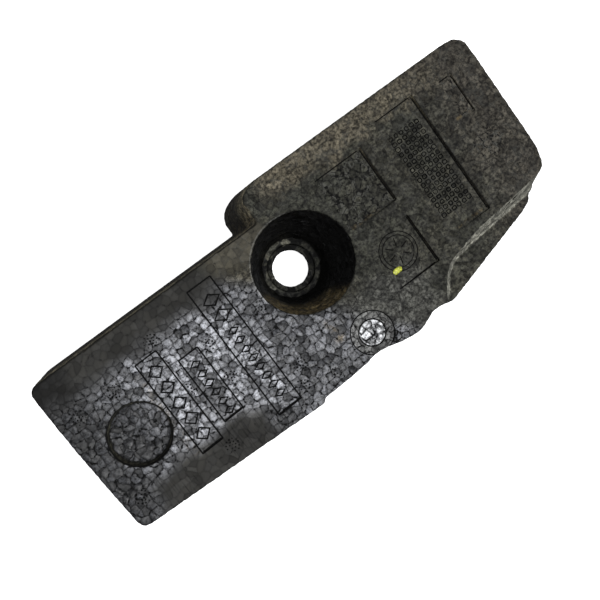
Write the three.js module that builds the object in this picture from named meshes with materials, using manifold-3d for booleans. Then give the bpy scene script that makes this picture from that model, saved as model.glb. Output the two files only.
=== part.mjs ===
// A spacer block moulded in one piece from expanded polypropylene beads.
// Millimetres, +Z up. It lies on its flat back at z = 0 with its long side along X.
// The front is flat from the -X end to the crease, then rises towards the +X end.
// A deep tapered well goes down to a screw seat with a through hole.

import * as THREE from 'three';
import * as BufferGeometryUtils from 'three/addons/utils/BufferGeometryUtils.js';
import Module from 'manifold-3d';

// ---------------------------------------------------------------- driving dimensions

const SHOULDER = 60; // height of the flat front and of the ledge
const TOOL_TOP = 90; // height that cutting tools and uncut blocks reach
const CREASE_X = -3; // where the sloping front starts
const SLOPE = THREE.MathUtils.degToRad(8);
const DRAFT = THREE.MathUtils.degToRad(4.2); // every side wall leans in by this much

const TOP_EDGE_Y = 37.9; // long edge of the thin end, at shoulder height
const NOTCH_X = -2; // end wall of the wide part, above the thin end
const WIDE_EDGE_Y = 55.75; // long edge of the wide part
const RIGHT_END_X = 136.5;
const LEFT_END_X = -136.5;

// The well narrows to the seat, with a step round the hole. Behind the hole's short neck a
// cone opens out towards the back.
const WELL = { x: 4.2, y: 8.2, mouthR: 25.7, floorR: 16, floorZ: 30, stepR: 13, stepDepth: 2 };
const HOLE = { r: 9.9, neckDepth: 2.5, coneR: 11, backR: 16.9 };
const BLIND_POCKET = { x: -108.4, y: -10.2, mouthR: 15.7, floorR: 14.7, depth: 6.5 };
const FILL_MARK = { x: 12.2, y: -41.2, r: 11.6, depth: 0.6, discR: 6.8, discDepth: 1.1 };

// Recesses that mould insert plates leave in the sloping front. They start flush at x0, and
// their floors rise less steeply than the front does.
const PLATE_SLOPE = THREE.MathUtils.degToRad(3);
const INSERT_PLATES = [
  { x0: 32, x1: 61, y0: 6.2, y1: 37.2 },
  { x0: 35, x1: 60.7, y0: -31.8, y1: -3.8 },
  { x0: 73.5, x1: 97, y0: -25.8, y1: 43.2 },
  { x0: 111, x1: 119, y0: 18.7, y1: 40.2 },
];

const ROUND_SEGMENTS = 64;
const CURVE_STEPS = 6;

const wasm = await Module();
wasm.setup();

// ---------------------------------------------------------------- solids and meshes

function toSolid(geometry) {
  const bare = geometry.clone();
  bare.deleteAttribute('normal');
  bare.deleteAttribute('uv');
  const merged = BufferGeometryUtils.mergeVertices(bare, 1e-4);
  return new wasm.Manifold(new wasm.Mesh({
    numProp: 3,
    vertProperties: new Float32Array(merged.attributes.position.array),
    triVerts: new Uint32Array(merged.index.array),
  }));
}

function toGeometry(solid) {
  const mesh = solid.getMesh();
  const geometry = new THREE.BufferGeometry();
  geometry.setAttribute('position', new THREE.BufferAttribute(mesh.vertProperties, 3));
  geometry.setIndex(new THREE.BufferAttribute(mesh.triVerts, 1));
  geometry.computeVertexNormals();
  return geometry;
}

// A counter-clockwise outline moved outwards by a distance, or inwards when it is negative.
function offsetOutline(points, distance) {
  return points.map((point, i) => {
    const before = points[(i + points.length - 1) % points.length];
    const after = points[(i + 1) % points.length];
    const inNormal = new THREE.Vector2(point.y - before.y, before.x - point.x).normalize();
    const outNormal = new THREE.Vector2(after.y - point.y, point.x - after.x).normalize();
    const mitre = inNormal.clone().add(outNormal).normalize();
    return point.clone().addScaledVector(mitre, distance / Math.max(mitre.dot(inNormal), 0.4));
  });
}

// A closed solid between two flat outlines with matching points.
function loft(lower, lowerZ, upper, upperZ) {
  const count = lower.length;
  const positions = [];
  lower.forEach((p) => positions.push(p.x, p.y, lowerZ));
  upper.forEach((p) => positions.push(p.x, p.y, upperZ));
  const index = [];
  for (let i = 0; i < count; i += 1) {
    const next = (i + 1) % count;
    index.push(i, next, count + next, i, count + next, count + i);
  }
  const capOf = (outline) => THREE.ShapeUtils.triangulateShape(outline, []);
  capOf(lower).forEach(([a, b, c]) => index.push(c, b, a));
  capOf(upper).forEach(([a, b, c]) => index.push(count + a, count + b, count + c));
  const geometry = new THREE.BufferGeometry();
  geometry.setAttribute('position', new THREE.Float32BufferAttribute(positions, 3));
  geometry.setIndex(index);
  return toSolid(geometry);
}

// The outline points of a shape, without the repeated closing point.
function outlineOf(shape) {
  const points = shape.getPoints(CURVE_STEPS);
  if (points[0].distanceTo(points[points.length - 1]) < 1e-6) points.pop();
  return points;
}

// A block whose outline is given at shoulder height and whose walls lean in by the draft.
function draftedBlock(shape) {
  const outline = outlineOf(shape);
  const lower = offsetOutline(outline, SHOULDER * Math.tan(DRAFT));
  const upper = offsetOutline(outline, (SHOULDER - TOOL_TOP) * Math.tan(DRAFT));
  return loft(lower, 0, upper, TOOL_TOP);
}

function turned(profile, x, y) {
  const points = profile.map(([r, z]) => new THREE.Vector2(r, z));
  const geometry = new THREE.LatheGeometry(points, ROUND_SEGMENTS);
  geometry.rotateX(Math.PI / 2);
  geometry.translate(x, y, 0);
  return toSolid(geometry);
}

// A side view, as a list of [x, z] corners, swept from y0 to y1.
function swept(corners, y0, y1) {
  const shape = new THREE.Shape(corners.map(([x, z]) => new THREE.Vector2(x, z)));
  const geometry = new THREE.ExtrudeGeometry(shape, { depth: y1 - y0, bevelEnabled: false });
  geometry.rotateX(Math.PI / 2);
  geometry.translate(0, y1, 0);
  return toSolid(geometry);
}

const frontHeight = (x) => SHOULDER + Math.max(0, x - CREASE_X) * Math.tan(SLOPE);

// ---------------------------------------------------------------- outer form

// Thin end, up to the small step in its lower edge.
function leftBlock() {
  const shape = new THREE.Shape();
  const stepX = -27.9;
  shape.moveTo(stepX, -55);
  shape.lineTo(stepX, TOP_EDGE_Y);
  shape.lineTo(LEFT_END_X + 5, TOP_EDGE_Y);
  shape.quadraticCurveTo(LEFT_END_X, TOP_EDGE_Y, LEFT_END_X, TOP_EDGE_Y - 5.5);
  shape.quadraticCurveTo(LEFT_END_X - 0.2, 0, -134.4, -43.1);
  shape.quadraticCurveTo(-134, -47.4, -130, -47.8);
  shape.closePath();
  return draftedBlock(shape);
}

// Waist between the ends, with the uneven lower edge below the well.
function middleBlock() {
  const lowerEdge = [[-2, -52.7], [6, -51.5], [13.5, -52.1], [23, -54.7], [30, -55.7],
    [35, -55.3], [42, -52.5], [47, -51.8], [50, -52.3]];
  const shape = new THREE.Shape();
  shape.moveTo(-60, -50);
  shape.lineTo(-27, -53.1);
  shape.splineThru(lowerEdge.map(([x, y]) => new THREE.Vector2(x, y)));
  shape.lineTo(54, -53.4);
  shape.lineTo(54, TOP_EDGE_Y);
  shape.lineTo(-60, TOP_EDGE_Y);
  shape.closePath();
  return draftedBlock(shape);
}

// Wide end, with the slanting outer edge of the ledge on its lower side.
function rightBlock() {
  const shape = new THREE.Shape();
  shape.moveTo(30, -45);
  shape.lineTo(57.8, -55.2);
  shape.lineTo(118.3, -41);
  shape.quadraticCurveTo(126, -39, 127.2, -35.2);
  shape.quadraticCurveTo(134, -34.4, 135.6, -24);
  shape.quadraticCurveTo(RIGHT_END_X, -14, RIGHT_END_X, 0);
  shape.lineTo(RIGHT_END_X, WIDE_EDGE_Y - 11);
  shape.quadraticCurveTo(RIGHT_END_X, WIDE_EDGE_Y, RIGHT_END_X - 12, WIDE_EDGE_Y);
  shape.lineTo(9, WIDE_EDGE_Y);
  shape.quadraticCurveTo(-0.9, 54, NOTCH_X, 49);
  shape.lineTo(NOTCH_X, 20);
  shape.closePath();
  return draftedBlock(shape);
}

// Everything under the flat front and the sloping front.
function frontEnvelope() {
  const reach = 160;
  return swept([[-reach, -1], [reach, -1], [reach, frontHeight(reach)], [CREASE_X, SHOULDER],
    [-reach, SHOULDER]], -reach, reach);
}

// What is cut away above the ledge. Foot is the bank's line on the ledge, and brow its line
// on the sloping front.
function ledgeCut() {
  const foot = [[55.5, -58], [57.1, -52.6], [60, -48], [63, -44.1], [67.9, -40.1], [74, -38],
    [89.5, -36.6], [106.4, -35.8], [123.6, -34.6], [131, -32.5], [135.2, -26], [137.8, -12]];
  const brow = [[51.5, -56], [53.1, -50.2], [56.1, -45.6], [58.7, -41.8], [63.7, -37.2], [70, -34.8],
    [85, -31.2], [103, -29.4], [120, -27.6], [128.5, -26.3], [132.6, -22.8], [136.2, -10]];
  const crest = brow.map(([x, y], i) => {
    const rise = (TOOL_TOP - SHOULDER) / (frontHeight(x) - SHOULDER);
    return [foot[i][0] + (x - foot[i][0]) * rise, foot[i][1] + (y - foot[i][1]) * rise];
  });
  const curveOf = (line) => {
    const curve = new THREE.SplineCurve(line.map(([x, y]) => new THREE.Vector2(x, y)));
    return curve.getPoints(3 * line.length);
  };
  const beyond = [[160, -12], [160, -80], [40, -80]].map(([x, y]) => new THREE.Vector2(x, y));
  const ring = (line) => [...curveOf(line), ...beyond].reverse();
  return loft(ring(foot), SHOULDER, ring(crest), TOOL_TOP);
}

// ---------------------------------------------------------------- hollows

// Tapered well, stepped seat, through hole and the cone behind it, all on one upright axis.
function screwWell() {
  const { x, y, mouthR, floorR, floorZ, stepR, stepDepth } = WELL;
  const taper = (mouthR - floorR) / (SHOULDER - floorZ);
  const topR = floorR + taper * (TOOL_TOP - floorZ);
  const stepZ = floorZ - stepDepth;
  const neckZ = stepZ - HOLE.neckDepth;
  return turned([[0, -1], [HOLE.backR, -1], [HOLE.backR, 0], [HOLE.coneR, neckZ], [HOLE.r, neckZ],
    [HOLE.r, stepZ], [stepR, stepZ], [stepR, floorZ], [floorR, floorZ], [topR, TOOL_TOP],
    [0, TOOL_TOP]], x, y);
}

function blindPocket() {
  const { x, y, mouthR, floorR, depth } = BLIND_POCKET;
  const floorZ = SHOULDER - depth;
  return turned([[0, floorZ], [floorR, floorZ], [mouthR, SHOULDER + 1], [0, SHOULDER + 1]], x, y);
}

// Shallow round recess where the beads were blown in, square to the sloping front, with the
// injector's own disc in it.
function fillMark() {
  const { x, y, r, depth, discR, discDepth } = FILL_MARK;
  const above = 10;
  const profile = [[0, -discDepth], [discR, -discDepth], [discR, -depth], [r, -depth], [r, above],
    [0, above]];
  return turned(profile, 0, 0).rotate([0, -THREE.MathUtils.radToDeg(SLOPE), 0])
    .translate([x, y, frontHeight(x)]);
}

function insertRecess({ x0, x1, y0, y1 }) {
  const startZ = frontHeight(x0);
  const endZ = startZ + (x1 - x0) * Math.tan(PLATE_SLOPE);
  return swept([[x0, startZ], [x1, endZ], [x1, TOOL_TOP], [x0, TOOL_TOP]], y0, y1);
}

// ---------------------------------------------------------------- the block

function foamBlock() {
  let solid = leftBlock().add(middleBlock()).add(rightBlock());
  solid = solid.intersect(frontEnvelope());
  const cuts = [ledgeCut(), screwWell(), blindPocket(), fillMark(), ...INSERT_PLATES.map(insertRecess)];
  cuts.forEach((cut) => {
    solid = solid.subtract(cut);
  });
  const foam = new THREE.MeshStandardMaterial({ color: 0x2b2b2a, roughness: 0.62, metalness: 0 });
  const mesh = new THREE.Mesh(toGeometry(solid), foam);
  mesh.name = 'foam_block';
  return mesh;
}

const spacerBlock = new THREE.Group();
spacerBlock.add(foamBlock());

export default spacerBlock;
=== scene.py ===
"""Looks of the moulded bead-foam spacer block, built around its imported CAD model."""
import math
import random

import bmesh
import bpy
import numpy as np
from mathutils import Matrix, Vector
from mathutils.bvhtree import BVHTree


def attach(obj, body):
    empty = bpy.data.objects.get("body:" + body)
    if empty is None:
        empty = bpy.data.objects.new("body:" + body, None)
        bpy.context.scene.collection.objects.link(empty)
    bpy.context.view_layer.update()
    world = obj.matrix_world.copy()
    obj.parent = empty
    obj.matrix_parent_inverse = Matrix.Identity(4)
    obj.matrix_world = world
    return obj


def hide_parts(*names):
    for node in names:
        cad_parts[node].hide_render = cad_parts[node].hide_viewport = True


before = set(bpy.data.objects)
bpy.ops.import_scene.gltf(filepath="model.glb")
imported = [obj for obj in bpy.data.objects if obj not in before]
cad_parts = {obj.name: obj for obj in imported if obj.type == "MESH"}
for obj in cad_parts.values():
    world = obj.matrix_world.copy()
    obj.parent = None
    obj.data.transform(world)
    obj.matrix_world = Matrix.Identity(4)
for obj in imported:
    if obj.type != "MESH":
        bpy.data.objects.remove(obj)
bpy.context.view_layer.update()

# ------------------------------------------------------------------ dimensions, in mm
# The CAD node gives the form. These follow its dimensions, and place the fine detail on it.

MM = 0.001
BEAD = 3.9  # from the middle of one bead to the next
VOXEL = 0.8
FACE_TARGET = 150000  # triangles left before the fine marks are carved
EDGE_REACH = 4.5  # how far from an outer wall the front is rounded

SHOULDER = 60.0
CREASE_X = -3.0
SLOPE = math.radians(8)
PLATE_SLOPE = math.radians(3)
LEDGE_TOP = 60.0
ABOVE = 4.0  # how far a cutter stands above the face that it carves

WELL = (4.2, 8.2)
WELL_MOUTH_R = 26.0  # a little more than the CAD block's, because the visual rim is rounded
CONE_R = 16.9
POCKET = (-108.4, -10.2)
POCKET_R = 15.7
FILL = (12.2, -41.2)
FILL_R = 11.6
FILL_DEPTH = 0.6
FILL_DISC_R = 6.8

# Flush insert plates in the flat front: x0, x1, y0, y1.
FLAT_PLATES = {
    "narrow": (-91.2, -78.3, -36.8, 17.6),
    "short": (-73.6, -61.6, -31.1, 7.0),
    "long": (-50.6, -36.0, -45.4, 31.0),
}
# Plates that sink into the sloping front from their x0 on.
SLOPE_PLATES = {
    "square": (32.0, 61.0, 6.2, 37.2),
    "ring": (35.0, 60.7, -31.8, -3.8),
    "grid": (73.5, 97.0, -25.8, 43.2),
    "small": (111.0, 119.0, 18.7, 40.2),
}
PLATE_LINES = {
    "square": ("right", "top"),
    "ring": ("right", "bottom"),
    "grid": ("right", "top"),
    "small": ("right", "top"),
}
PLATE_TRIM = 0.12  # how far the visual plates are cut below the CAD block's
# Rows of lozenges on the flush plates: left, right and top inset, count, length and gap.
LOZENGES = {
    "narrow": ((2.0, 2.0, 4.6, 5, 7.9, 1.5),),
    "short": ((2.6, 2.8, 4.4, 6, 4.6, 0.95),),
    "long": ((2.6, 1.6, 6.6, 2, 7.4, 1.6), (3.8, 3.8, 26.5, 8, 4.4, 1.1)),
}
GRID_CORNER = (74.4, -16.6)
GRID_COUNTS = (6, 16)
GRID_PITCH = (3.25, 3.1)
RING = (46.9, -15.8)
VENTS = (
    (-125.4, 13.5), (-105.0, 13.2), (-58.0, 4.2), (-76.2, -7.6), (-78.0, 22.4), (-57.8, -15.5),
    (-77.0, -42.0), (-125.0, -35.0), (-32.3, -41.0), (-14.7, -45.0), (-27.1, -31.5), (-26.5, 3.6),
)
LEDGE_VENTS = ((73.1, -45.2), (91.7, -42.4))
MOTTLED_MARK = (115.1, 1.7)

# ------------------------------------------------------------------ colours of the foam

# The clean beads' light grey-blue is partly painted sheen, a window's reflection on black foam.
CLEAN_BEADS_AND_SHEEN = (0.092, 0.094, 0.101, 1)
SMOOTH_SKIN = (0.0295, 0.0285, 0.0255, 1)
OLIVE_BEADS = (0.0315, 0.0318, 0.0252, 1)
DUST = (0.125, 0.109, 0.078, 1)
WIDE_END_DUST = (0.047, 0.0425, 0.034, 1)
GREY_DUST = (0.085, 0.085, 0.078, 1)
FILL_RING = (0.135, 0.135, 0.130, 1)
FILL_BEADS = (0.75, 0.76, 0.78, 1)
# Painted reflection: the pale colour of the bank below the slope.
BANK_REFLECTION = (0.29, 0.285, 0.24, 1)
SIDE_WALLS = (0.038, 0.032, 0.021, 1)
# Pale dust and painted reflection on the upper part of the long wall.
EDGE_DUST_AND_REFLECTION = (0.205, 0.180, 0.120, 1)
# Painted light on the pocket's walls, a lighter olive-grey.
POCKET_WALL_LIGHT = (0.12, 0.115, 0.08, 1)
# Brown dust and painted light on the well's lower walls.
BROWN_DIRT_AND_LIGHT = (0.12, 0.092, 0.046, 1)
# Painted shade: a dark line along the front's upper rounded edge.
TOP_EDGE_SHADE = (0.010, 0.009, 0.006, 1)
# Painted highlight on the well's rim.
RIM_HIGHLIGHT = (0.26, 0.26, 0.25, 1)
RUST = (0.125, 0.090, 0.040, 1)
PALE_SEAMS = (0.13, 0.13, 0.115, 1)
# Black for the gaps between beads and for painted shade in crevices.
GAPS_AND_SHADE = (0.002, 0.002, 0.002, 1)


def front_height(x):
    """Height of the front face at x, in mm."""
    return SHOULDER + max(0.0, x - CREASE_X) * math.tan(SLOPE)


def plate_height(name, x):
    """Height of a sunken plate's floor at x, in mm."""
    x0 = SLOPE_PLATES[name][0]
    return front_height(x0) + (x - x0) * math.tan(PLATE_SLOPE) - PLATE_TRIM


# ------------------------------------------------------------------ camera

def make_camera():
    """Looks down on the thin end, turned so that the block runs up to the right."""
    position = Vector((-65.0, 26.2, 398.7)) * MM
    target = Vector((-7.6, -5.7, 60.0)) * MM
    turn = math.radians(-36.84)
    back = (position - target).normalized()
    level = Vector((math.cos(turn), math.sin(turn), 0))
    right = (level - level.dot(back) * back).normalized()
    up = back.cross(right)
    camera = bpy.data.objects.new("camera", bpy.data.cameras.new("camera"))
    camera.matrix_world = Matrix((
        (right.x, up.x, back.x, position.x),
        (right.y, up.y, back.y, position.y),
        (right.z, up.z, back.z, position.z),
        (0, 0, 0, 1)))
    camera.data.sensor_width = 36
    camera.data.lens = 41.4
    camera.data.clip_start = 0.01
    bpy.context.scene.collection.objects.link(camera)
    bpy.context.scene.camera = camera


# ------------------------------------------------------------------ node helpers

def node(tree, kind, inputs=(), **settings):
    """Adds a node. inputs are (name or index, value or socket) pairs."""
    made = tree.nodes.new(kind)
    for name, value in settings.items():
        setattr(made, name, value)
    for key, value in inputs:
        socket = made.inputs[key]
        if isinstance(value, bpy.types.NodeSocket):
            tree.links.new(value, socket)
        else:
            socket.default_value = value
    return made


def calc(tree, operation, a, b=0.0, c=0.0):
    return node(tree, "ShaderNodeMath", ((0, a), (1, b), (2, c)), operation=operation).outputs[0]


def vector_calc(tree, operation, a, b=(0, 0, 0), out=0):
    return node(tree, "ShaderNodeVectorMath", ((0, a), (1, b)), operation=operation).outputs[out]


def scaled(tree, vector, factor):
    made = node(tree, "ShaderNodeVectorMath", ((0, vector), ("Scale", factor)), operation="SCALE")
    return made.outputs[0]


def step(tree, value, low, high, to_low=0.0, to_high=1.0):
    """Smooth change from to_low at low to to_high at high."""
    made = node(tree, "ShaderNodeMapRange", (
        ("Value", value), ("From Min", low), ("From Max", high),
        ("To Min", to_low), ("To Max", to_high)), interpolation_type="SMOOTHSTEP")
    return made.outputs["Result"]


def noise(tree, point, size, detail=2.0, roughness=0.5, out="Fac"):
    """Noise whose features are about size mm across, from 0 to 1 with its middle at 0.5."""
    made = node(tree, "ShaderNodeTexNoise", (
        ("Vector", point), ("Scale", 1.0 / size), ("Detail", detail), ("Roughness", roughness)))
    return made.outputs[out]


def most(tree, *values):
    """The largest of the values."""
    found = values[0]
    for value in values[1:]:
        found = calc(tree, "MAXIMUM", found, value)
    return found


def rest_of(tree, mask):
    return calc(tree, "SUBTRACT", 1.0, mask)


def product(tree, *factors):
    total = factors[0]
    for factor in factors[1:]:
        total = calc(tree, "MULTIPLY", total, factor)
    return total


def blend_values(tree, factor, a, b):
    made = node(tree, "ShaderNodeMix", ((0, factor), (2, a), (3, b)), data_type="FLOAT")
    return made.outputs[0]


def blend_colours(tree, factor, a, b, mode="MIX"):
    inputs = ((0, factor), (6, a), (7, b))
    return node(tree, "ShaderNodeMix", inputs, data_type="RGBA", blend_type=mode).outputs[2]


def scaled_colour(tree, colour, factor):
    grey = node(tree, "ShaderNodeCombineColor", ((0, factor), (1, factor), (2, factor))).outputs[0]
    return blend_colours(tree, 1.0, colour, grey, "MULTIPLY")


def darker(tree, tone, mask, factor):
    """Multiplies a tone by factor where the mask is 1."""
    return product(tree, tone, blend_values(tree, mask, 1.0, factor))


def sloping(tree, x, start, slope, height):
    """Height at x of a plane that is at height where x is start."""
    run = calc(tree, "SUBTRACT", x, start)
    return calc(tree, "ADD", calc(tree, "MULTIPLY", run, math.tan(slope)), height)


def inside_disc(tree, x, y, centre, radius, soft):
    """1 inside an upright cylinder, fading to 0 over soft mm."""
    dx = calc(tree, "SUBTRACT", x, centre[0])
    dy = calc(tree, "SUBTRACT", y, centre[1])
    squares = calc(tree, "ADD", product(tree, dx, dx), product(tree, dy, dy))
    return step(tree, calc(tree, "SQRT", squares), radius, radius - soft)


def inside_box(tree, x, y, box, soft):
    """1 inside an upright box x0, x1, y0, y1, fading to 0 over soft mm."""
    x0, x1, y0, y1 = box
    return product(
        tree,
        step(tree, x, x0, x0 + soft), step(tree, x, x1, x1 - soft),
        step(tree, y, y0, y0 + soft), step(tree, y, y1, y1 - soft))


# ------------------------------------------------------------------ the bead pattern

class Pattern:
    """The bead cells and the zones of the surface, wired the same way for relief and for colour."""

    def __init__(self, tree, position, normal):
        self.tree = tree
        self.point = scaled(tree, position, 1.0 / MM)
        parts = node(tree, "ShaderNodeSeparateXYZ", ((0, self.point),))
        self.x, self.y, self.z = parts.outputs
        self.up = node(tree, "ShaderNodeSeparateXYZ", ((0, normal),)).outputs[2]
        self.cells()
        self.zones()

    def cells(self):
        tree = self.tree
        waves = noise(tree, self.point, 9.0, 1.0, out="Color")
        drift = vector_calc(tree, "SUBTRACT", waves, (0.5, 0.5, 0.5))
        bent = vector_calc(tree, "ADD", self.point, scaled(tree, drift, 3.0))
        shared = (("Vector", bent), ("Scale", 1.0 / BEAD), ("Randomness", 0.7))
        cell = node(tree, "ShaderNodeTexVoronoi", shared, feature="F1")
        edge = node(tree, "ShaderNodeTexVoronoi", shared, feature="DISTANCE_TO_EDGE")
        self.chance = cell.outputs["Color"]
        self.pick = node(tree, "ShaderNodeSeparateXYZ", ((0, self.chance),)).outputs
        self.edge = calc(tree, "MULTIPLY", edge.outputs["Distance"], BEAD)
        away = vector_calc(tree, "SUBTRACT", bent, cell.outputs["Position"])
        lean = vector_calc(tree, "SUBTRACT", self.chance, (0.5, 0.5, 0.5))
        self.tilt = vector_calc(tree, "DOT_PRODUCT", away, lean, out=1)

    def zones(self):
        tree, x, y = self.tree, self.x, self.y
        ragged = calc(tree, "SUBTRACT", noise(tree, self.point, 14.0, 3.0), 0.5)
        self.rough_x = calc(tree, "MULTIPLY_ADD", ragged, 26.0, x)
        self.rough_y = calc(tree, "MULTIPLY_ADD", ragged, -22.0, y)
        self.front = step(tree, self.up, 0.55, 0.85)
        self.flat_zones(tree, self.rough_x, self.rough_y)
        plates = [product(tree, inside_box(tree, x, y, SLOPE_PLATES[name], 1.5), share)
                  for name, share in (("square", 1.0), ("small", 1.0), ("grid", 0.3))]
        mark = inside_disc(tree, x, y, MOTTLED_MARK, 9.0, 3.0)
        self.scaly = product(tree, most(tree, *plates, mark), self.front)
        self.fill = product(tree, inside_disc(tree, x, y, FILL, FILL_DISC_R, 0.6), self.front)
        self.fill_ring = product(tree, inside_disc(tree, x, y, FILL, FILL_R, 1.0), self.front)
        self.hollows(tree, x, y)
        beady = blend_values(tree, self.clean, 0.55, 1.0)
        beady = blend_values(tree, self.skin, beady, 0.4)
        notch_corner = product(tree, self.notch_corner, 0.7)
        beady = most(tree, beady, notch_corner, product(tree, self.scaly, 0.9), self.fill,
                     product(tree, self.fill_ring, 0.4))
        self.beady = blend_values(tree, self.well, beady, 0.5)

    def flat_zones(self, tree, x, y):
        """Zones of the level front, with ragged borders."""
        # The clean zone ends on a line that leans across the crease.
        across = calc(tree, "MULTIPLY_ADD", y, 0.8, x)
        self.clean = product(tree, step(tree, across, -4.0, -17.0), self.front)
        top_skin = step(tree, y, 15.0, 30.0)
        low_skin = inside_box(tree, x, y, (-124.0, -50.0, -76.0, -27.0), 12.0)
        skin = most(tree, top_skin, low_skin)
        self.skin = product(tree, skin, step(tree, x, 0.0, -8.0), self.front)
        # Darker at the thin end: smoother, darker skin there, and painted shade for its rounded edge.
        self.end_dim = product(tree, step(tree, x, -112.0, -128.0), self.front)
        # Painted sheen: the clean middle is made lighter in colour, standing in for a window's
        # reflection.
        middle = inside_box(tree, x, y, (-106.0, -30.0, -44.0, 26.0), 16.0)
        self.bright = product(tree, middle, self.clean)
        corner = inside_box(tree, x, y, (-6.0, 14.0, 34.0, 70.0), 6.0)
        self.notch_corner = product(tree, corner, self.front)

    def hollows(self, tree, x, y):
        """The insides of the pocket and of the well."""
        below = step(tree, self.z, SHOULDER - 1.5, SHOULDER - 4.0)
        self.pocket = product(tree, inside_disc(tree, x, y, POCKET, POCKET_R + 1.0, 1.0), below,
                              step(tree, self.z, SHOULDER - 14.0, SHOULDER - 12.0))
        steep = step(tree, self.up, 0.6, 0.35)
        self.well = product(tree, inside_disc(tree, x, y, WELL, WELL_MOUTH_R + 2.0, 1.0),
                            most(tree, below, steep), step(tree, self.z, 0.5, 1.5))


# ------------------------------------------------------------------ mesh work

def apply_modifier(obj, kind, **settings):
    modifier = obj.modifiers.new(kind, kind)
    for name, value in settings.items():
        setattr(modifier, name, value)
    bpy.context.view_layer.objects.active = obj
    bpy.ops.object.modifier_apply(modifier=modifier.name)


def coordinates(mesh):
    found = np.empty(len(mesh.vertices) * 3)
    mesh.vertices.foreach_get("co", found)
    return found.reshape(-1, 3)


def copy_of_block():
    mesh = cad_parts["foam_block"].data.copy()
    mesh.materials.clear()
    obj = bpy.data.objects.new("foam_body", mesh)
    bpy.context.scene.collection.objects.link(obj)
    work = bmesh.new()
    work.from_mesh(mesh)
    bmesh.ops.remove_doubles(work, verts=work.verts, dist=1e-6)
    work.to_mesh(mesh)
    work.free()
    return obj


def outer_wall_tree(mesh):
    """The side walls that stand on the back, without the cone behind the screw hole."""
    points = coordinates(mesh)
    walls = []
    for face in mesh.polygons:
        corners = points[list(face.vertices)]
        from_well = math.hypot(face.center.x - WELL[0] * MM, face.center.y - WELL[1] * MM)
        stands = abs(face.normal.z) < 0.25 and corners[:, 2].min() < 5 * MM
        if stands and from_well > (CONE_R + 2) * MM:
            walls.append(tuple(face.vertices))
    return BVHTree.FromPolygons([Vector(p) for p in points], walls)


def round_outer_edges(obj, walls, reach, passes):
    """Smooths the upper vertices near the outer walls, so that the front's edges get a radius."""
    crisp_below, round_above = 12 * MM, 40 * MM
    group = obj.vertex_groups.new(name="edges")
    for index, point in enumerate(coordinates(obj.data)):
        if point[2] < crisp_below:
            continue
        near = walls.find_nearest(Vector(point), reach)
        if near[0] is None:
            continue
        rise = min(1.0, (point[2] - crisp_below) / (round_above - crisp_below))
        weight = 1.6 * (1.0 - near[3] / reach) * rise
        group.add([index], min(1.0, weight), "REPLACE")
    apply_modifier(obj, "SMOOTH", factor=0.5, iterations=passes, vertex_group=group.name)
    obj.vertex_groups.clear()


def flatten_back(obj):
    """Puts the back's vertices on z = 0 again, and keeps the rest above it."""
    mesh = obj.data
    points = coordinates(mesh)
    low = points[:, 2] < 0.35 * VOXEL * MM
    points[low, 2] = 0.0
    mesh.vertices.foreach_set("co", points.ravel())
    mesh.update()


def relief_tree():
    """Geometry nodes that push each bead's face out and its edges in."""
    tree = bpy.data.node_groups.new("bead_relief", "GeometryNodeTree")
    tree.interface.new_socket("Geometry", in_out="INPUT", socket_type="NodeSocketGeometry")
    tree.interface.new_socket("Geometry", in_out="OUTPUT", socket_type="NodeSocketGeometry")
    start = tree.nodes.new("NodeGroupInput")
    end = tree.nodes.new("NodeGroupOutput")
    normal = tree.nodes.new("GeometryNodeInputNormal").outputs[0]
    position = tree.nodes.new("GeometryNodeInputPosition").outputs[0]
    cells = Pattern(tree, position, normal)
    groove = calc(tree, "MULTIPLY", step(tree, cells.edge, 0.9, 0.0), -0.34)
    height = calc(tree, "ADD", groove, calc(tree, "MULTIPLY", cells.tilt, 0.10))
    strength = darker(tree, most(tree, cells.beady, 0.25), bank_zone(tree, cells), 0.1)
    above_back = step(tree, cells.z, 0.5, 3.0)
    height = product(tree, height, strength, above_back, MM)
    offset = scaled(tree, normal, height)
    inputs = (("Geometry", start.outputs[0]), ("Offset", offset))
    moved = node(tree, "GeometryNodeSetPosition", inputs)
    tree.links.new(moved.outputs[0], end.inputs[0])
    return tree


def rounded_rectangle(x0, x1, y0, y1, radius, steps=3):
    """Counter-clockwise outline with rounded corners."""
    corners = ((x1 - radius, y1 - radius, 0), (x0 + radius, y1 - radius, 90),
               (x0 + radius, y0 + radius, 180), (x1 - radius, y0 + radius, 270))
    outline = []
    for cx, cy, start in corners:
        for i in range(steps + 1):
            angle = math.radians(start + 90 * i / steps)
            outline.append((cx + radius * math.cos(angle), cy + radius * math.sin(angle)))
    return outline


def circle(centre, radius, count=48, start=0.0):
    angles = [start + 2 * math.pi * i / count for i in range(count)]
    return [(centre[0] + radius * math.cos(a), centre[1] + radius * math.sin(a)) for a in angles]


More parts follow.
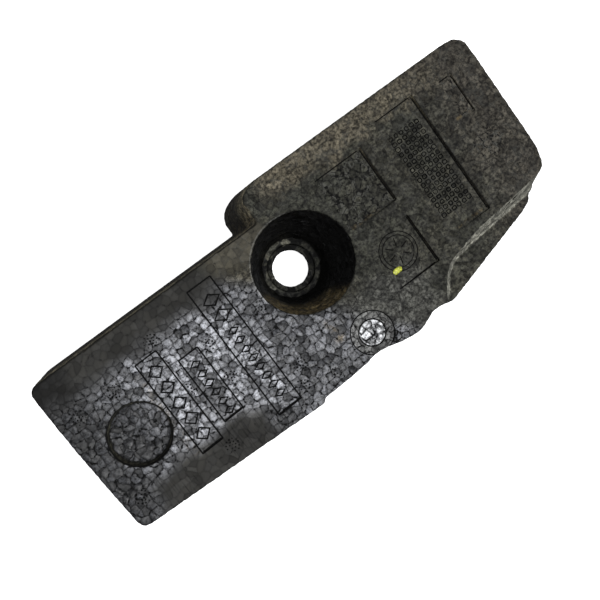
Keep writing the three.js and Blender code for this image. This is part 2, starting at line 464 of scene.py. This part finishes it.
class Carver:
    """Collects separate upright cutters, none of which touch, and cuts them all at once."""

    def __init__(self):
        self.mesh = bmesh.new()

    def loop(self, outline, z):
        """z is a height, or a function that gives it from x."""
        height = z if callable(z) else lambda x: z
        return [self.mesh.verts.new((x * MM, y * MM, height(x) * MM)) for x, y in outline]

    def walls(self, low, high):
        count = len(low)
        for i in range(count):
            k = (i + 1) % count
            self.mesh.faces.new((low[i], low[k], high[k], high[i]))

    def pit(self, outline, floor, top):
        low, high = self.loop(outline, floor), self.loop(outline, top)
        self.walls(low, high)
        self.mesh.faces.new(low[::-1])
        self.mesh.faces.new(high)

    def groove(self, outer, inner, floor, top):
        outer_low, outer_high = self.loop(outer, floor), self.loop(outer, top)
        inner_low, inner_high = self.loop(inner, floor), self.loop(inner, top)
        self.walls(outer_low, outer_high)
        self.walls(inner_high, inner_low)
        self.walls(inner_low, outer_low)
        self.walls(outer_high, inner_high)

    def cut(self, obj):
        mesh = bpy.data.meshes.new("cutters")
        self.mesh.to_mesh(mesh)
        self.mesh.free()
        tool = bpy.data.objects.new("cutters", mesh)
        bpy.context.scene.collection.objects.link(tool)
        apply_modifier(obj, "BOOLEAN", operation="DIFFERENCE", object=tool, solver="MANIFOLD")
        bpy.data.objects.remove(tool)


def frame_groove(carver, box, width, depth, level, radius=0.7):
    """A groove just inside a rectangle, cut depth mm below level."""
    x0, x1, y0, y1 = box
    outer = rounded_rectangle(x0, x1, y0, y1, radius)
    inner_radius = max(0.15, radius - width)
    inner = rounded_rectangle(x0 + width, x1 - width, y0 + width, y1 - width, inner_radius)
    carver.groove(outer, inner, level - depth, level + ABOVE)


def fill_height(x):
    return front_height(x) - FILL_DEPTH


def carve_recesses(carver):
    """Cuts the recesses of the CAD block again, so that their edges are crisp after the rounding."""
    over = 0.35
    for name, (x0, x1, y0, y1) in SLOPE_PLATES.items():
        outline = rounded_rectangle(x0, x1 + over, y0 - over, y1 + over, 0.5)
        carver.pit(outline, lambda x, n=name: plate_height(n, x), front_height(x1) + ABOVE)
    carver.pit(circle(FILL, FILL_R + 0.2), fill_height, front_height(FILL[0]) + 2 * ABOVE)


def lozenge_row(carver, plate, row):
    """Plain lozenge outlines in a row along -Y."""
    line = 1.08
    left, right, top, count, length, gap = row
    x0, x1 = FLAT_PLATES[plate][0] + left, FLAT_PLATES[plate][1] - right
    y_start = FLAT_PLATES[plate][3] - top
    middle, half = (x0 + x1) / 2, (x1 - x0) / 2
    for i in range(count):
        centre_y = y_start - i * (length + gap) - length / 2
        rings = []
        for shrink in (0.0, line):
            across, along = half - shrink, length / 2 - shrink
            rings.append([(middle + across, centre_y), (middle, centre_y + along),
                          (middle - across, centre_y), (middle, centre_y - along)])
        carver.groove(rings[0], rings[1], SHOULDER - 0.8, SHOULDER + ABOVE)


def carve_plates(carver):
    """Outlines of the mould's insert plates, with rows of lozenges where a mould has its marking."""
    width = 0.8
    for name, box in FLAT_PLATES.items():
        frame_groove(carver, box, width, 1.1, SHOULDER)
        x0, x1, y0, _ = box
        left, right, low = x0 + width + 0.1, x1 - width, y0 + width
        foot = rounded_rectangle(left, right, low, low + 0.5, 0.2, steps=1)
        carver.pit(foot, SHOULDER - 0.9, SHOULDER + ABOVE)
        for row in LOZENGES[name]:
            lozenge_row(carver, name, row)


def carve_ring(carver):
    """A plain double ring with six ticks on the lower square plate."""
    def below(depth):
        return lambda x: plate_height("ring", x) - depth
    for outer, inner, depth in ((10.4, 9.9, 0.8), (8.5, 8.05, 0.7)):
        carver.groove(circle(RING, outer), circle(RING, inner), below(depth), below(-3))
    half_length, half_width = 2.2, 0.28
    corners = ((-1, -1), (1, -1), (1, 1), (-1, 1))
    for i in range(6):
        angle = math.radians(60 * i + 15)
        along = Vector((math.cos(angle), math.sin(angle)))
        across = Vector((-along.y, along.x))
        centre = Vector(RING) + 4.8 * along
        outline = [tuple(centre + a * half_length * along + b * half_width * across)
                   for a, b in corners]
        carver.pit(outline, below(0.8), below(-3))


def carve_grid(carver):
    """A blank grid of outlined cells, a little uneven, on the long plate of the slope."""
    pick = random.Random(7)
    top = front_height(GRID_CORNER[0]) + 2 * ABOVE
    for column in range(GRID_COUNTS[0]):
        for row in range(GRID_COUNTS[1]):
            x, y = GRID_CORNER[0] + GRID_PITCH[0] * column, GRID_CORNER[1] + GRID_PITCH[1] * row
            trims = [pick.uniform(0.15, 0.5) for _ in range(4)]
            x0, x1 = x + trims[0], x + GRID_PITCH[0] - trims[1]
            y0, y1 = y + trims[2], y + GRID_PITCH[1] - trims[3]
            width = pick.uniform(0.45, 0.65)
            depth = pick.uniform(0.5, 0.9)
            outer = rounded_rectangle(x0, x1, y0, y1, 0.5, steps=1)
            inner = rounded_rectangle(x0 + width, x1 - width, y0 + width, y1 - width, 0.3, steps=1)
            carver.groove(outer, inner, lambda x, d=depth: plate_height("grid", x) - d, top)


def carve_plate_lines(carver):
    """Deeper lines along the edges where the sunken plates' walls are highest."""
    deep, thin = 0.45, 0.35
    for name, edges in PLATE_LINES.items():
        x0, x1, y0, y1 = SLOPE_PLATES[name]
        places = {
            "right": (x1 - deep, x1 + 0.3, y0 + 0.5, y1 - 0.5),
            "top": (x0 + 1.0, x1 - 1.4, y1 - thin, y1 + 0.3),
            "bottom": (x0 + 1.0, x1 - 1.4, y0 - 0.3, y0 + thin),
        }
        for edge in edges:
            outline = rounded_rectangle(*places[edge], 0.15, steps=1)
            carver.pit(outline, lambda x, n=name: plate_height(n, x) - 0.8, front_height(x1) + ABOVE)


def carve_fill_mark(carver):
    """The injector's own disc, and the thin line round it."""
    def below(depth):
        return lambda x: fill_height(x) - depth
    grooves = ((FILL_DISC_R + 0.5, FILL_DISC_R - 0.2, 1.2), (FILL_R, FILL_R - 0.6, 0.9))
    for outer, inner, depth in grooves:
        carver.groove(circle(FILL, outer), circle(FILL, inner), below(depth), below(-ABOVE))


def clear_of_plates(x, y, gap=1.0):
    for x0, x1, y0, y1 in FLAT_PLATES.values():
        if x0 - gap < x < x1 + gap and y0 - gap < y < y1 + gap:
            return False
    return True


def pin_prick(carver, x, y, radius, depth):
    level = front_height(x)
    carver.pit(circle((x, y), radius, 6, start=x), level - depth, level + 3)


def vent_mark(carver, centre, pick):
    """A core vent leaves a round cluster of pin pricks."""
    for ring_radius, count in ((0.0, 1), (1.6, 6), (3.3, 11)):
        turn = pick.uniform(0, math.pi)
        for i in range(count):
            angle = turn + 2 * math.pi * (i + pick.uniform(-0.15, 0.15)) / count
            reach = ring_radius * pick.uniform(0.9, 1.1)
            x = centre[0] + reach * math.cos(angle)
            y = centre[1] + reach * math.sin(angle)
            if clear_of_plates(x, y):
                pin_prick(carver, x, y, pick.uniform(0.3, 0.55), 0.95)


def carve_marks(carver):
    """Core vents on the flat front and on the ledge, and the other small marks of the mould."""
    pick = random.Random(11)
    for centre in VENTS:
        vent_mark(carver, centre, pick)
    for centre in LEDGE_VENTS:
        for place in [centre, *circle(centre, 1.8, 6)]:
            carver.pit(circle(place, 0.35, 6), LEDGE_TOP - 0.8, LEDGE_TOP + 2)
    for ring_radius, count in ((2.4, 5), (4.8, 9), (7.3, 15)):
        for i in range(count):
            angle = 2 * math.pi * (i + pick.uniform(-0.2, 0.2)) / count
            x, y = (MOTTLED_MARK[0] + ring_radius * math.cos(angle),
                    MOTTLED_MARK[1] + ring_radius * math.sin(angle))
            pin_prick(carver, x, y, pick.uniform(0.3, 0.6), 0.7)
    for i in range(7):
        pin_prick(carver, 23.6 + 0.4 * (i % 3), -45.5 - 1.3 * i, 0.45, 1.2)
    for x0, x1, y in ((105.7, 108.7, -30.3), (110.3, 113.3, -29.9)):
        slot = rounded_rectangle(x0, x1, y - 0.45, y + 0.35, 0.2, steps=1)
        carver.pit(slot, LEDGE_TOP + 11, LEDGE_TOP + 22)


def carve_back(carver):
    """Core vents in rows on the flat back."""
    pick = random.Random(23)
    for column in range(9):
        for row in range(3):
            centre = (-120.0 + 30.0 * column, -34.0 + 34.0 * row)
            if math.hypot(centre[0] - WELL[0], centre[1] - WELL[1]) < CONE_R + 8:
                continue
            for place in [centre, *circle(centre, 2.3, 7, start=0.3)]:
                carver.pit(circle(place, pick.uniform(0.35, 0.5), 6), -2, 0.9)


# ------------------------------------------------------------------ the foam body

def make_body():
    obj = copy_of_block()
    walls = outer_wall_tree(obj.data)
    apply_modifier(obj, "REMESH", mode="VOXEL", voxel_size=VOXEL * MM)
    round_outer_edges(obj, walls, EDGE_REACH * MM, 9)
    apply_modifier(obj, "SMOOTH", factor=0.5, iterations=2)
    flatten_back(obj)
    apply_modifier(obj, "NODES", node_group=relief_tree())
    apply_modifier(obj, "DECIMATE", ratio=min(1.0, FACE_TARGET / (2 * len(obj.data.polygons))))
    carver = Carver()
    carve_recesses(carver)
    carver.cut(obj)
    carver = Carver()
    for carve in (carve_plates, carve_plate_lines, carve_ring, carve_grid, carve_fill_mark,
                  carve_marks, carve_back):
        carve(carver)
    carver.cut(obj)
    obj.data.shade_smooth()
    obj.data.set_sharp_from_angle(angle=math.radians(40))
    obj.data.materials.clear()
    obj.data.materials.append(foam_material())
    obj.data.polygons.foreach_set("material_index", [0] * len(obj.data.polygons))
    return obj


def crevice_shade(tree, p, side):
    """Painted shade: 1 in the carved lines of the front and on the recesses' walls that face the thin
    end.
    """
    sunk = calc(tree, "SUBTRACT", SHOULDER, p.z)
    level_front = inside_box(tree, p.x, p.y, (-130.0, -14.0, -49.0, 33.0), 1.0)
    not_hollow = rest_of(tree, most(tree, p.pocket, p.well))
    found = [product(tree, level_front, step(tree, sunk, 0.34, 0.55), step(tree, sunk, 4.0, 3.0),
                     not_hollow)]
    for name, (x0, x1, y0, y1) in SLOPE_PLATES.items():
        around = inside_box(tree, p.x, p.y, (x0 - 0.2, x1 + 1.0, y0 - 1.0, y1 + 1.0), 0.3)
        floor = sloping(tree, p.x, x0, PLATE_SLOPE, plate_height(name, x0))
        sunk = calc(tree, "SUBTRACT", floor, p.z)
        dark = most(tree, step(tree, sunk, 0.15, 0.65), step(tree, side, 0.35, 0.7, 0.0, 0.6))
        found.append(product(tree, around, step(tree, sunk, 4.0, 3.0), dark))
    around = inside_disc(tree, p.x, p.y, FILL, FILL_R + 0.5, 0.3)
    sunk = calc(tree, "SUBTRACT", sloping(tree, p.x, FILL[0], SLOPE, fill_height(FILL[0])), p.z)
    dark = most(tree, step(tree, sunk, 0.62, 0.9), step(tree, side, 0.3, 0.7, 0.0, 0.6))
    found.append(product(tree, around, step(tree, sunk, 3.0, 2.0), dark))
    return most(tree, *found)


def upper_band(tree, p):
    """The dusty, smooth band along the slope's upper edge."""
    return product(tree, step(tree, p.rough_y, 37.0, 46.0), step(tree, p.x, 2.0, 14.0), p.front)


def zone_colour(tree, p, facing_up_side):
    """Clean grey-blue beads with painted sheen, smooth skin, the olive, dusty slope and walls, and
    painted light and shade.
    """
    not_clean = rest_of(tree, p.clean)
    patchy = step(tree, noise(tree, p.point, 20.0, 4.0, 0.6), 0.40, 0.66)
    beside_well = inside_box(tree, p.rough_x, p.rough_y, (-40.0, -2.0, 8.0, 46.0), 6.0)
    dust = most(tree, product(tree, upper_band(tree, p), 0.8), product(tree, patchy, 0.12),
                product(tree, beside_well, p.front, 0.4))
    wide_end = step(tree, p.rough_x, 84.0, 122.0)
    below_well = inside_box(tree, p.rough_x, p.rough_y, (-4.0, 56.0, -62.0, -16.0), 10.0)
    wall = rest_of(tree, step(tree, p.up, 0.2, 0.5))
    near_top = product(tree, step(tree, p.z, SHOULDER - 26.0, SHOULDER - 8.0),
                       step(tree, p.rough_y, 20.0, 34.0))
    layers = (
        (product(tree, dust, not_clean, p.front), DUST),
        (product(tree, wide_end, not_clean, p.front), WIDE_END_DUST),
        (product(tree, below_well, not_clean, 0.6), GREY_DUST),
        (product(tree, p.fill_ring, 0.8), FILL_RING),
        (p.fill, FILL_BEADS),
        # painted reflection on the bank
        (bank_zone(tree, p), BANK_REFLECTION),
        (product(tree, wall, 0.9), SIDE_WALLS),
        # dust and painted reflection on the upper wall
        (product(tree, wall, near_top), EDGE_DUST_AND_REFLECTION),
        # painted light on the pocket's walls
        (product(tree, p.pocket, wall), POCKET_WALL_LIGHT),
        # brown dust and painted light in the well
        (well_dirt_and_light(tree, p), BROWN_DIRT_AND_LIGHT),
        # painted shade on the top edge
        (top_edge_shade(tree, p, facing_up_side), TOP_EDGE_SHADE),
        # painted highlight on the well's rim
        (well_rim_highlight(tree, p), RIM_HIGHLIGHT),
        (stains(tree, p), RUST),
    )
    clean_part = blend_colours(tree, p.skin, CLEAN_BEADS_AND_SHEEN, SMOOTH_SKIN)
    colour = blend_colours(tree, p.clean, OLIVE_BEADS, clean_part)
    for mask, layer in layers:
        colour = blend_colours(tree, mask, colour, layer)
    return colour


def bead_tones(tree, p):
    """Each bead has its own tone and painted shade at its rim, and a finer mottle goes over all of
    it. Painted sheen lightens the clean middle, painted shade darkens the pocket and the well, and
    the thin end is darker.
    """
    bead_tone = step(tree, p.pick[0], 0.0, 1.0, 0.28, 1.9)
    spread = blend_values(tree, p.skin, blend_values(tree, p.clean, 0.55, 0.9), 0.38)
    spread = blend_values(tree, upper_band(tree, p), spread, 0.25)
    spread = blend_values(tree, p.fill, spread, 0.3)
    # Painted shade: each bead darker towards its rim, as light falls on a dome.
    dome_shade = step(tree, p.edge, 0.0, 1.1, 0.66, 1.14)
    mottle = step(tree, noise(tree, p.point, 1.8, 4.0, 0.6), 0.34, 0.66, 0.84, 1.18)
    shine = step(tree, noise(tree, p.point, 1.6, 5.0, 0.7), 0.34, 0.66, 0.2, 2.0)
    hazy = step(tree, noise(tree, p.point, 26.0, 2.0), 0.32, 0.68, 0.8, 1.2)
    tone = product(
        tree,
        blend_values(tree, spread, 1.0, bead_tone),
        blend_values(tree, p.beady, 1.0, dome_shade),
        blend_values(tree, p.clean, mottle, 1.0),
        blend_values(tree, p.skin, shine, 1.0),
        blend_values(tree, p.clean, 1.0, hazy),
        # painted sheen on the clean middle, for a window's reflection
        blend_values(tree, p.bright, 1.0, 2.25))
    # the thin end's darker skin and painted shade
    tone = darker(tree, tone, p.end_dim, 0.3)
    tone = darker(tree, tone, mill_lines(tree, p), 0.3)
    # Painted shade inside the pocket.
    tone = darker(tree, tone, p.pocket, 0.42)
    # Painted shade in the well, with painted glints on its seat.
    return darker(tree, tone, p.well, well_shade(tree, p))


def bead_gaps(tree, p):
    """The gaps between beads, and how dark they are: the wider a gap, the darker."""
    wide = step(tree, noise(tree, p.point, 2.0, 2.0, 0.6), 0.52, 0.66, 0.12, 0.85)
    gap = step(tree, p.edge, wide, calc(tree, "MULTIPLY", wide, 0.30))
    broken = step(tree, noise(tree, p.point, 4.0, 3.0, 0.6), 0.55, 0.68)
    faint = blend_values(tree, p.front, 0.0, 0.12)
    shown = most(tree, step(tree, p.beady, 0.3, 0.9), calc(tree, "MULTIPLY_ADD", broken, 0.5, faint))
    return product(tree, gap, shown), step(tree, wide, 0.12, 0.5, 0.72, 0.97)


def pale_seams(tree, p):
    """Here and there dust fills the seams of the slope's beads."""
    here = step(tree, noise(tree, p.point, 5.0, 3.0), 0.48, 0.58)
    strength = blend_values(tree, p.scaly, 0.25, 0.6)
    seam = step(tree, p.edge, 0.55, 0.25)
    return product(tree, seam, rest_of(tree, p.clean), strength, here, p.front)


def bead_bump(tree, p, gap):
    grain = calc(tree, "MULTIPLY", noise(tree, p.point, 0.8, 3.0, 0.6), 0.16)
    crumb = product(tree, noise(tree, p.point, 2.4, 4.0, 0.65),
                    blend_values(tree, p.clean, 0.26, 0.42))
    lean = product(tree, p.tilt, p.beady, 0.42)
    scratches = product(tree, mill_lines(tree, p), -0.08)
    height = calc(tree, "MULTIPLY", gap, -0.30)
    for part in (lean, grain, crumb, scratches):
        height = calc(tree, "ADD", height, part)
    smooth = most(tree, bank_zone(tree, p), product(tree, upper_band(tree, p), 0.6))
    height = darker(tree, height, smooth, 0.25)
    bump = node(tree, "ShaderNodeBump", (("Height", height), ("Distance", MM), ("Strength", 0.9)))
    return bump.outputs[0]


def bead_roughness(tree, p, black):
    """Clean beads and the injector's disc shine a little, dust and dark gaps don't."""
    roughness = blend_values(tree, p.clean, 0.84, 0.36)
    roughness = blend_values(tree, p.skin, roughness, 0.72)
    roughness = blend_values(tree, p.fill, roughness, 0.40)
    roughness = most(tree, roughness, black)
    roughness = blend_values(tree, p.well, roughness, blend_values(tree, p.front, 0.42, 0.85))
    return calc(tree, "ADD", roughness, step(tree, p.pick[1], 0.0, 1.0, -0.08, 0.12))


def foam_material():
    material = bpy.data.materials.new("bead_foam")
    material.use_nodes = True
    tree = material.node_tree
    tree.nodes.clear()
    place = tree.nodes.new("ShaderNodeTexCoord").outputs["Object"]
    normal = tree.nodes.new("ShaderNodeNewGeometry").outputs["Normal"]
    p = Pattern(tree, place, normal)
    facing = node(tree, "ShaderNodeSeparateXYZ", ((0, normal),)).outputs
    facing_thin_end = calc(tree, "MULTIPLY", facing[0], -1.0)

    colour = scaled_colour(tree, zone_colour(tree, p, facing[1]), bead_tones(tree, p))
    colour = blend_colours(tree, pale_seams(tree, p), colour, PALE_SEAMS)
    gap, depth = bead_gaps(tree, p)
    # black is the bead gaps and the painted shade of the crevices.
    black = most(tree, product(tree, gap, depth), crevice_shade(tree, p, facing_thin_end))
    colour = blend_colours(tree, black, colour, GAPS_AND_SHADE)
    shader = node(tree, "ShaderNodeBsdfPrincipled", (
        ("Base Color", colour), ("Roughness", bead_roughness(tree, p, black)),
        ("Normal", bead_bump(tree, p, gap)), ("Specular IOR Level", 0.35)))
    end = tree.nodes.new("ShaderNodeOutputMaterial")
    tree.links.new(shader.outputs[0], end.inputs["Surface"])
    return material


def top_edge_shade(tree, p, facing_up_side):
    """Painted shade: a dark line on the rounded edge between the flat front and the long upper wall.
    """
    turned = product(tree, step(tree, facing_up_side, 0.15, 0.4), step(tree, p.up, 0.15, 0.4))
    return product(tree, turned, step(tree, p.z, SHOULDER - 6.0, SHOULDER - 3.0),
                   step(tree, p.x, 2.0, -4.0), step(tree, p.y, 30.0, 33.0))


def bank_zone(tree, p):
    """The bank between the ledge and the sloping front, which gets a pale painted reflection."""
    place = inside_box(tree, p.x, p.y, (52.0, 134.0, -52.0, -12.0), 2.0)
    leaning = product(tree, step(tree, p.up, 0.04, 0.12), step(tree, p.up, 0.96, 0.88))
    risen = step(tree, p.z, LEDGE_TOP - 0.4, LEDGE_TOP + 1.0)
    below_front = calc(tree, "SUBTRACT", sloping(tree, p.x, CREASE_X, SLOPE, SHOULDER), p.z)
    return product(tree, place, leaning, risen, step(tree, below_front, 0.3, 1.2))


def well_rim_highlight(tree, p):
    """A painted highlight: a pale line on the left half of the well's rim."""
    outer = inside_disc(tree, p.x, p.y, WELL, WELL_MOUTH_R + 0.75, 0.25)
    inner = inside_disc(tree, p.x, p.y, WELL, WELL_MOUTH_R + 0.1, 0.25)
    middle = WELL[0] - WELL[1]
    side = step(tree, calc(tree, "SUBTRACT", p.x, p.y), middle - 6.0, middle - 30.0)
    ring = calc(tree, "SUBTRACT", outer, inner)
    return product(tree, ring, side, step(tree, p.z, SHOULDER - 2.0, SHOULDER - 1.0), 0.3)


def well_dirt_and_light(tree, p):
    """Brown dust and painted light on the upper part of the well's lower and left walls."""
    low = calc(tree, "MULTIPLY_ADD", calc(tree, "SUBTRACT", p.x, WELL[0]), 0.6, p.y)
    side = step(tree, low, WELL[1] - 12.0, WELL[1] - 20.0)
    return product(tree, p.well, side, step(tree, p.z, SHOULDER - 22.0, SHOULDER - 10.0))


def stains(tree, p):
    """Rusty dirt in the notch corner, beside the fill mark and along the recesses' lower lines."""
    places = (
        ((-14.0, 0.0, 36.0, 50.0), 5.0, 0.9),
        ((-7.0, 2.0, -38.0, -20.0), 5.0, 0.7),
        ((76.0, 95.0, -25.6, -23.0), 1.2, 0.6),
        ((108.0, 117.5, 18.8, 21.6), 1.2, 0.7),
        ((34.0, 52.0, 5.8, 8.8), 1.2, 0.5),
        ((-96.0, -90.5, -36.0, 14.0), 2.0, 0.25),
    )
    patchy = step(tree, noise(tree, p.point, 4.0, 4.0, 0.65), 0.40, 0.62)
    found = [product(tree, inside_box(tree, p.x, p.y, place, soft), strength)
             for place, soft, strength in places]
    high = step(tree, p.z, SHOULDER - 24.0, SHOULDER - 10.0)
    return product(tree, most(tree, *found), patchy, high)


def mill_lines(tree, p):
    """Fine lines of the mould's milling, along Y, in two places of the lower skin."""
    stretched = vector_calc(tree, "MULTIPLY", p.point, (1.0, 0.06, 0.06))
    lines = step(tree, noise(tree, stretched, 0.9, 2.0), 0.52, 0.70)
    zones = [inside_box(tree, p.rough_x, p.rough_y, box, 6.0)
             for box in ((-120.0, -94.0, -50.0, -20.0), (-84.0, -48.0, -56.0, -32.0))]
    return product(tree, lines, most(tree, *zones), p.front)


def well_shade(tree, p):
    """Painted shade makes the well nearly black, but for its lower wall, with brown dust and painted
    light, and painted glints on the beads of its seat.
    """
    middle = WELL[0] - WELL[1]
    lit = step(tree, calc(tree, "SUBTRACT", p.x, p.y), middle + 14.0, middle - 14.0, 0.25, 1.0)
    # Painted glints: some seat beads made light, on the lit side.
    seat = product(tree, p.front, step(tree, p.pick[2], 0.5, 1.0, 0.02, 2.4), lit)
    # dirt is brown dust and painted light on the lower wall.
    dirt = product(tree, well_dirt_and_light(tree, p), 0.9)
    return calc(tree, "ADD", most(tree, dirt, seat), 0.01)


# ------------------------------------------------------------------ inspection paint

def make_paint_dab():
    """A dried dab of yellow marking paint, with an uneven outline, on the ring's plate."""
    pick = random.Random(3)
    centre = (40.8, -23.4)
    level = plate_height("ring", centre[0])
    half_x, half_y, height = 2.7, 1.35, 0.35
    spokes, rings = 40, 7
    swell = [pick.uniform(-0.07, 0.07) for _ in range(5)]
    work = bmesh.new()
    loops = []
    for ring in range(rings + 1):
        share = 1.0 - ring / (rings + 1)
        rise = height * math.sqrt(1.0 - share * share)
        loop = []
        for spoke in range(spokes):
            angle = 2 * math.pi * spoke / spokes
            wobble = 1.0 + sum(s * math.cos((k + 2) * angle + 1.7 * k) for k, s in enumerate(swell))
            blunt = (math.cos(angle) ** 4 + math.sin(angle) ** 4) ** -0.25
            x = centre[0] + half_x * share * wobble * blunt * math.cos(angle)
            y = centre[1] + half_y * share * wobble * blunt * math.sin(angle)
            loop.append(work.verts.new((x * MM, y * MM, (level + rise) * MM)))
        loops.append(loop)
    for lower, upper in zip(loops, loops[1:]):
        for i in range(spokes):
            k = (i + 1) % spokes
            work.faces.new((lower[i], lower[k], upper[k], upper[i]))
    work.faces.new(loops[-1])
    sunk = [work.verts.new((v.co.x, v.co.y, (level - 0.3) * MM)) for v in loops[0]]
    for i in range(spokes):
        k = (i + 1) % spokes
        work.faces.new((sunk[i], sunk[k], loops[0][k], loops[0][i]))
    work.faces.new(sunk[::-1])
    mesh = bpy.data.meshes.new("inspection_paint_dab")
    work.to_mesh(mesh)
    work.free()
    mesh.shade_smooth()
    mesh.materials.append(paint_material())
    dab = bpy.data.objects.new("inspection_paint_dab", mesh)
    bpy.context.scene.collection.objects.link(dab)
    return dab


def paint_material():
    material = bpy.data.materials.new("marking_paint")
    material.use_nodes = True
    tree = material.node_tree
    shader = tree.nodes["Principled BSDF"]
    place = tree.nodes.new("ShaderNodeTexCoord").outputs["Object"]
    point = scaled(tree, place, 1.0 / MM)
    thin = step(tree, noise(tree, point, 1.1, 4.0, 0.65), 0.38, 0.60)
    colour = blend_colours(tree, thin, (0.30, 0.32, 0.02, 1), (0.80, 0.84, 0.09, 1))
    tree.links.new(colour, shader.inputs["Base Color"])
    height = noise(tree, point, 0.7, 3.0, 0.6)
    inputs = (("Height", height), ("Distance", 0.25 * MM), ("Strength", 0.8))
    bump = node(tree, "ShaderNodeBump", inputs)
    tree.links.new(bump.outputs[0], shader.inputs["Normal"])
    shader.inputs["Roughness"].default_value = 0.35
    return material


# ------------------------------------------------------------------ stage

def make_stage():
    """A white floor that glows a little, so that it stays as white as a studio sweep."""
    mesh = bpy.data.meshes.new("floor")
    half = 12.0
    corners = [(-half, -half, 0), (half, -half, 0), (half, half, 0), (-half, half, 0)]
    mesh.from_pydata(corners, [], [(0, 1, 2, 3)])
    floor = bpy.data.objects.new("floor", mesh)
    floor.location.z = -0.0005
    material = bpy.data.materials.new("floor")
    material.use_nodes = True
    shader = material.node_tree.nodes["Principled BSDF"]
    shader.inputs["Base Color"].default_value = (0.8, 0.8, 0.8, 1)
    shader.inputs["Roughness"].default_value = 0.9
    shader.inputs["Emission Color"].default_value = (1, 1, 1, 1)
    shader.inputs["Emission Strength"].default_value = 1.0
    mesh.materials.append(material)
    floor.visible_diffuse = floor.visible_glossy = False  # it doesn't light the block from below
    bpy.context.scene.collection.objects.link(floor)


def soft_light(name, position, target, size, power):
    data = bpy.data.lights.new(name, "AREA")
    data.shape = "SQUARE"
    data.size = size
    data.energy = power
    light = bpy.data.objects.new(name, data)
    light.location = position
    light.rotation_euler = (Vector(position) - Vector(target)).to_track_quat("Z", "Y").to_euler()
    bpy.context.scene.collection.objects.link(light)


def make_lights():
    """A dim room, a wide soft window above, towards the lower edge, and a smaller lamp beside it."""
    world = bpy.data.worlds.new("studio")
    world.use_nodes = True
    background = world.node_tree.nodes["Background"]
    background.inputs["Color"].default_value = (0.95, 0.97, 1.0, 1)
    background.inputs["Strength"].default_value = 0.22
    bpy.context.scene.world = world
    soft_light("window", (0.08, -0.24, 1.3), (0.0, -0.02, 0.06), 0.5, 7.0)
    soft_light("lamp", (-0.04, -0.20, 1.3), (-0.06, -0.02, 0.06), 0.16, 4.0)


make_camera()
make_stage()
make_lights()
body = make_body()
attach(body, "root")
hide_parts("foam_block")
dab = make_paint_dab()
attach(dab, "root")
bpy.context.scene.view_settings.view_transform = "Standard"
